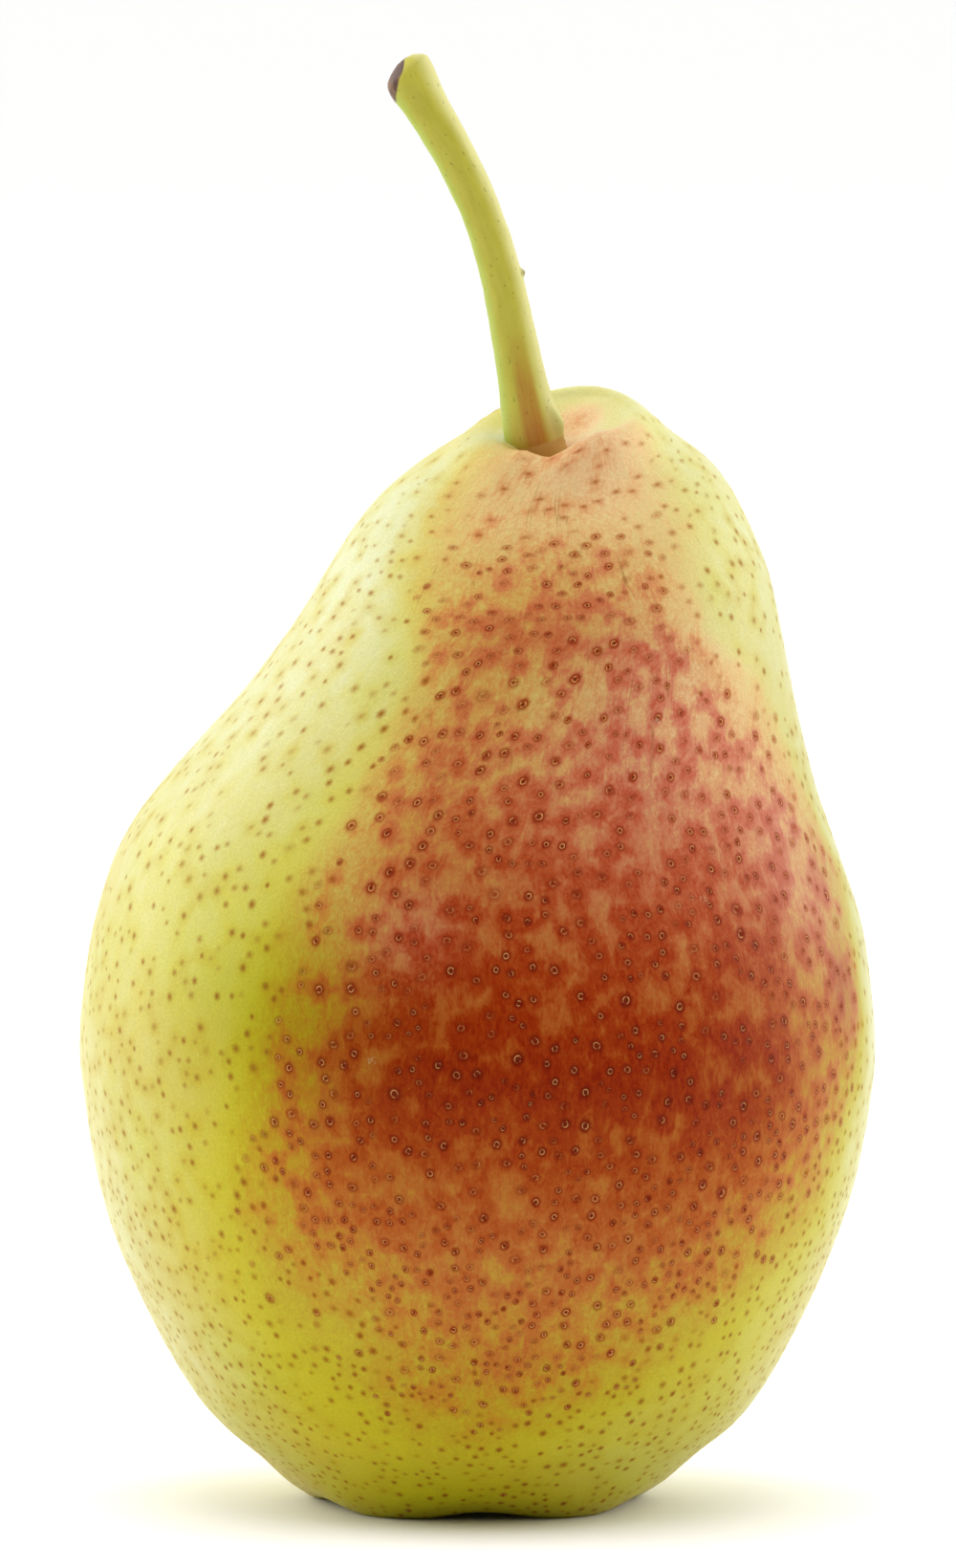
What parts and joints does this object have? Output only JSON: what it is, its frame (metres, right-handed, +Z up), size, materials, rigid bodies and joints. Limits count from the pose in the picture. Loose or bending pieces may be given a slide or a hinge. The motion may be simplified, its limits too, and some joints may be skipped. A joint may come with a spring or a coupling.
{
  "type": "pear",
  "caption": "Small red-blushed pear standing on its base, with a curved stem and a dried calyx in the hollow underneath.",
  "frame": {"origin": "on the resting plane, under the middle of the fruit's widest section", "axes": "+Z up from the base to the stem; the pictured front faces -Y and the neck leans towards +X"},
  "size_m": [0.066, 0.0648, 0.1203],
  "materials": {
    "skin": "waxy satin fruit skin, yellow-green with a red-brown blush and corky lenticels",
    "stalk": "matte green-yellow living bark with fine lengthwise fibres and a corky tip",
    "dried_calyx": "dry papery brown"
  },
  "bodies": {
    "root": {"fruit": "skin", "stem": "stalk", "sepal_1": "dried_calyx", "sepal_2": "dried_calyx", "sepal_3": "dried_calyx", "sepal_4": "dried_calyx", "sepal_5": "dried_calyx", "stamen_1": "dried_calyx", "stamen_2": "dried_calyx", "stamen_3": "dried_calyx", "stamen_4": "dried_calyx", "stamen_5": "dried_calyx", "stamen_6": "dried_calyx", "stamen_7": "dried_calyx", "stamen_8": "dried_calyx"}
  },
  "joints": []
}
